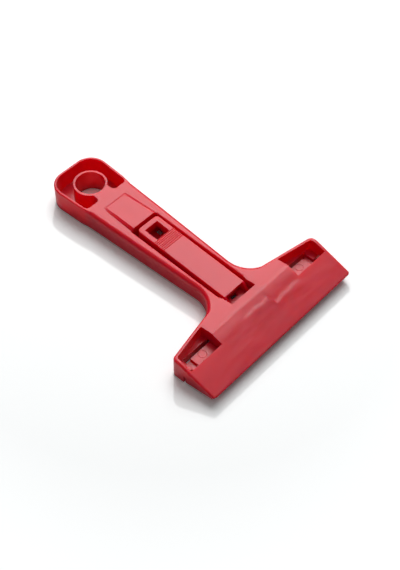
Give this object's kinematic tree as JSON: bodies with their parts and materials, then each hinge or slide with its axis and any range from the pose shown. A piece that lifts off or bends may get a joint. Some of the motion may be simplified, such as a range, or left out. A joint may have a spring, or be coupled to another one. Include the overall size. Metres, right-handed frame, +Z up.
{
  "type": "hob scraper",
  "caption": "Flat T-shaped hob scraper with a thumb slide that pushes a wide blade out under the lip of its head, and a hanging hole at the end of the handle.",
  "frame": {"origin": "on the table, under the middle of the tool's bounding box", "axes": "+X along the handle towards the blade, +Y across the head, +Z up from the table"},
  "size_m": [0.1468, 0.1, 0.0132],
  "materials": {
    "body_plastic": "satin red moulded plastic",
    "carrier_plastic": "satin red moulded plastic",
    "blade_steel": "ground carbon steel strip"
  },
  "bodies": {
    "handle": {"handle_body": "body_plastic"},
    "slider": {"blade_carrier": "carrier_plastic", "scraper_blade": "blade_steel"}
  },
  "joints": [
    {"name": "blade_slide", "type": "slide", "parent": "handle", "child": "slider", "axis": [1, 0, 0], "range_m": [0, 0.0059]}
  ]
}
